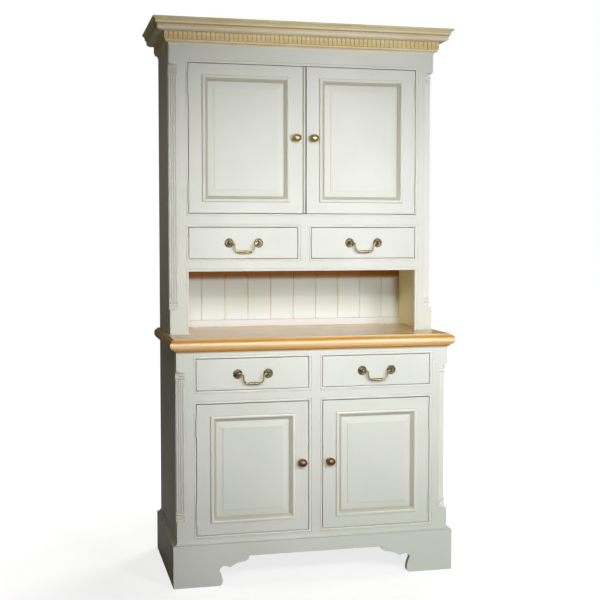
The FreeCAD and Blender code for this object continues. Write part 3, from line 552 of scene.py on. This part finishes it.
# Bails: pins in the heads, barrels, arms that bend in, and a swelled grip with collars
WIRE = 3.1 * MM
BARREL = 4.3 * MM
BARREL_OUTER_RIM = 0.92 * BARREL
BARREL_INNER_RIM = 0.86 * BARREL
RIM_LENGTH = 0.8 * MM
OUTER_SHOULDER = 0.2 * MM
INNER_SHOULDER = 0.4 * MM
PIN_END = 59.5 * MM
BARREL_END = 49.7 * MM
ARM = 38.5 * MM
DROP = 34 * MM
TOP_BEND = 7 * MM
LOW_BEND_WIDTH = 14 * MM
LOW_BEND_HEIGHT = DROP - TOP_BEND
HALF_GRIP = 23.5 * MM
GRIP = 5.5 * MM
GRIP_PROFILE = millimetres([(0, 3.1), (0.3, 3.9), (1.0, 4.3), (1.9, 4.3), (2.6, 3.8), (3.2, 3.5),
                            (8.0, 4.6), (14.0, 5.2)])
BEND_STEPS = 10
ROD_SEGMENTS = 20


def half_bail():
    """Places along half of the bail as (x, z, radius), from its pin to the end of its grip."""
    barrel_start = ARM + TOP_BEND
    places = [(PIN_END, 0, WIRE), (BARREL_END + OUTER_SHOULDER, 0, WIRE),
              (BARREL_END, 0, BARREL_OUTER_RIM), (BARREL_END - RIM_LENGTH, 0, BARREL),
              (barrel_start + RIM_LENGTH, 0, BARREL), (barrel_start, 0, BARREL_INNER_RIM),
              (barrel_start - INNER_SHOULDER, 0, WIRE)]
    turns = [math.pi / 2 * step / BEND_STEPS for step in range(1, BEND_STEPS + 1)]
    for angle in turns:
        places.append((ARM + TOP_BEND * (1 - math.sin(angle)),
                       -TOP_BEND * (1 - math.cos(angle)), WIRE))
    for angle in turns:
        places.append((ARM - LOW_BEND_WIDTH * (1 - math.cos(angle)),
                       -TOP_BEND - LOW_BEND_HEIGHT * math.sin(angle), WIRE))
    for along, radius in GRIP_PROFILE:
        places.append((HALF_GRIP - along, -DROP, radius))
    return places


def bail_mesh(centre):
    """Points and faces of a rod swept along the bail's path, which lies in one upright plane."""
    half = half_bail()
    other_half = [(-x, z, radius) for x, z, radius in reversed(half)]
    places = half + [(0, -DROP, GRIP)] + other_half
    points = []
    for index, (x, z, radius) in enumerate(places):
        before = places[max(index - 1, 0)]
        after = places[min(index + 1, len(places) - 1)]
        along = Vector((after[0] - before[0], 0, after[1] - before[1])).normalized()
        across = Vector((-along.z, 0, along.x))
        for step in range(ROD_SEGMENTS):
            angle = 2 * math.pi * step / ROD_SEGMENTS
            points.append(centre + Vector((x, 0, z)) + across * (radius * math.cos(angle))
                          + Vector((0, radius * math.sin(angle), 0)))
    faces = []
    for ring in range(len(places) - 1):
        for step in range(ROD_SEGMENTS):
            after = (step + 1) % ROD_SEGMENTS
            low = ring * ROD_SEGMENTS
            high = low + ROD_SEGMENTS
            faces.append((low + step, low + after, high + after, high + step))
    faces.append(tuple(range(ROD_SEGMENTS))[::-1])
    faces.append(tuple(range(len(points) - ROD_SEGMENTS, len(points))))
    return points, faces


for level in ("lower", "upper"):
    for side in ("left", "right"):
        handle = f"drawer_{level}_{side}_handle"
        swing = f"drawer_{level}_{side}_bail"
        low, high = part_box(handle)
        middle = (low.x + high.x) / 2
        height = (low.z + high.z) / 2
        points = []
        faces = []
        for way in (-1, 1):
            centre = Vector((middle + way * POST_SPREAD / 2, high.y, height))
            more, patches = lathe(POST_PROFILE, centre)
            faces += [tuple(corner + len(points) for corner in patch) for patch in patches]
            points += more
        posts = mesh_piece(f"{handle}_cast", points, faces, antique_brass,
                           f"drawer_{level}_{side}", levels=1)
        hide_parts(handle)
        points, faces = bail_mesh(Vector((middle, high.y - POST_REACH, height)))
        bent = mesh_piece(f"{swing}_bent", points, faces, rubbed_brass,
                          f"bail_{level}_{side}")
        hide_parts(swing)

# ---------------------------------------------------------------- floor, light and camera

FLOOR_SIZE = 30.0
FLOOR_GREY = (0.4, 0.4, 0.4, 1.0)
FLOOR_ROUGHNESS = 0.9
WHITE = (1.0, 1.0, 1.0, 1.0)

# The floor's own glow: less than white as far as the shadow reaches, and white further out
SHADOW_EDGE = 0.8
WHITE_EDGE = 1.8
GLOW_IN_SHADOW = 0.78


def floor_material():
    """A pale floor that the camera sees as white beyond the object and its shadow."""
    tree = Finish("pale_floor")
    tree.finish(Base_Color=FLOOR_GREY, Roughness=FLOOR_ROUGHNESS)
    seen = tree.add("ShaderNodeLightPath").outputs["Is Camera Ray"]
    away = tree.add("ShaderNodeVectorMath", {"operation": "LENGTH"}, _0=tree.where)
    glow = tree.ramp(away.outputs["Value"], SHADOW_EDGE, WHITE_EDGE, GLOW_IN_SHADOW, 1.0)
    light = tree.add("ShaderNodeEmission", Color=WHITE, Strength=tree.math("MULTIPLY", seen, glow))
    both = tree.add("ShaderNodeAddShader", _0=tree.shader.outputs["BSDF"],
                    _1=light.outputs["Emission"])
    tree.put(tree.nodes["Material Output"], "Surface", both.outputs["Shader"])
    return tree.material


def floor():
    half = FLOOR_SIZE / 2
    mesh = bpy.data.meshes.new("floor")
    mesh.from_pydata([(-half, -half, 0), (half, -half, 0), (half, half, 0), (-half, half, 0)], [],
                     [(0, 1, 2, 3)])
    mesh.materials.append(floor_material())
    plane = bpy.data.objects.new("floor", mesh)
    bpy.context.scene.collection.objects.link(plane)


FILL_COLOUR = (1.0, 0.81, 0.45, 1.0)
FILL_STRENGTH = 0.045
MIRRORED_AHEAD = 0.25
MIRRORED_BEHIND = 0.05
MIRRORED_BLEND = 0.3


def white_surround():
    """World that the camera sees as white, and that lights the object with a soft warm fill.

    Metal mirrors a share of the white, which is larger ahead of the cupboard than behind it.
    """
    world = bpy.data.worlds.new("surround")
    bpy.context.scene.world = world
    tree = Tree(world)
    fill = tree.nodes["Background"]
    tree.put(fill, "Color", FILL_COLOUR)
    tree.put(fill, "Strength", FILL_STRENGTH)
    white = tree.add("ShaderNodeBackground", Color=WHITE)
    ray = tree.add("ShaderNodeLightPath").outputs
    way = tree.axis(tree.add("ShaderNodeTexCoord").outputs["Generated"], "Y")
    share = tree.ramp(way, MIRRORED_BLEND, -MIRRORED_BLEND, MIRRORED_BEHIND, MIRRORED_AHEAD)
    mirrored = tree.math("MULTIPLY", ray["Is Glossy Ray"], share)
    seen = tree.math("MAXIMUM", ray["Is Camera Ray"], ray["Is Transmission Ray"])
    blend = tree.add("ShaderNodeMixShader", _0=tree.math("MAXIMUM", seen, mirrored),
                     _1=fill.outputs["Background"], _2=white.outputs["Background"])
    tree.put(tree.nodes["World Output"], "Surface", blend.outputs["Shader"])


def lamp(name, kind, place, target, watts):
    light = bpy.data.lights.new(name, kind)
    light.energy = watts
    holder = bpy.data.objects.new(name, light)
    bpy.context.scene.collection.objects.link(holder)
    holder.location = place
    aim = Vector(target) - Vector(place)
    holder.rotation_euler = aim.to_track_quat("-Z", "Y").to_euler()
    return light


def soft_box(name, place, target, watts, size, colour):
    light = lamp(name, "AREA", place, target, watts)
    light.shape = "DISK"
    light.size = size
    light.color = colour


def soft_spot(name, place, target, watts, radius, cone, colour):
    light = lamp(name, "SPOT", place, target, watts)
    light.color = colour
    light.shadow_soft_size = radius
    light.spot_size = math.radians(cone)
    light.spot_blend = 1.0


# The camera, as solved from the photograph: angles in degrees, and the lens in its pixels
CAMERA_PLACE = (-1.00059, -4.18944, 1.28226)
CAMERA_YAW = 13.43
CAMERA_DIP = 2.95
PHOTO_SIZE = 600
FOCAL_PIXELS = 1096.79
CENTRE_ROW = 292.44
SENSOR = 36.0


def camera():
    data = bpy.data.cameras.new("photo_view")
    data.sensor_width = SENSOR
    data.lens = FOCAL_PIXELS / PHOTO_SIZE * SENSOR
    data.shift_y = (CENTRE_ROW - PHOTO_SIZE / 2) / PHOTO_SIZE
    view = bpy.data.objects.new("photo_view", data)
    bpy.context.scene.collection.objects.link(view)
    view.location = CAMERA_PLACE
    view.rotation_euler = (math.radians(90 - CAMERA_DIP), 0, -math.radians(CAMERA_YAW))
    bpy.context.scene.camera = view


floor()
white_surround()
soft_box("key", place=(1.1, -2.95, 1.9), target=(0.1, -0.1, 1.1), watts=26, size=0.6,
         colour=(0.92, 0.89, 1.0))
soft_spot("sheen", place=(0.3, -2.95, 1.35), target=(0.12, -0.1, 1.2), watts=75, radius=0.25,
          cone=38, colour=(0.93, 0.90, 1.0))
soft_box("low", place=(1.6, -3.3, 0.6), target=(0.3, -0.3, 0.3), watts=20, size=1.2,
         colour=(0.90, 0.90, 1.0))
soft_spot("front", place=(-0.45, -4.6, 0.9), target=(0.3, -0.2, 0.48), watts=134, radius=0.35,
          cone=44, colour=(0.98, 0.98, 1.0))
soft_spot("high", place=(-0.05, -4.5, 2.66), target=(0.2, -0.2, 1.02), watts=175, radius=0.06,
          cone=35, colour=(0.98, 0.98, 0.92))
soft_spot("higher", place=(-1.1, -4.4, 2.95), target=(0.2, -0.2, 1.0), watts=185, radius=0.2,
          cone=35, colour=(0.98, 0.98, 0.92))
soft_spot("side", place=(-2.2, -1.5, 1.7), target=(-0.52, 0.1, 1.5), watts=24, radius=0.4,
          cone=34, colour=(1.0, 0.96, 0.88))
soft_box("behind", place=(1.8, 2.6, 3.9), target=(0.0, 0.2, 1.1), watts=90, size=1.6,
         colour=(1.0, 1.0, 1.0))
camera()
bpy.context.scene.view_settings.view_transform = "Standard"
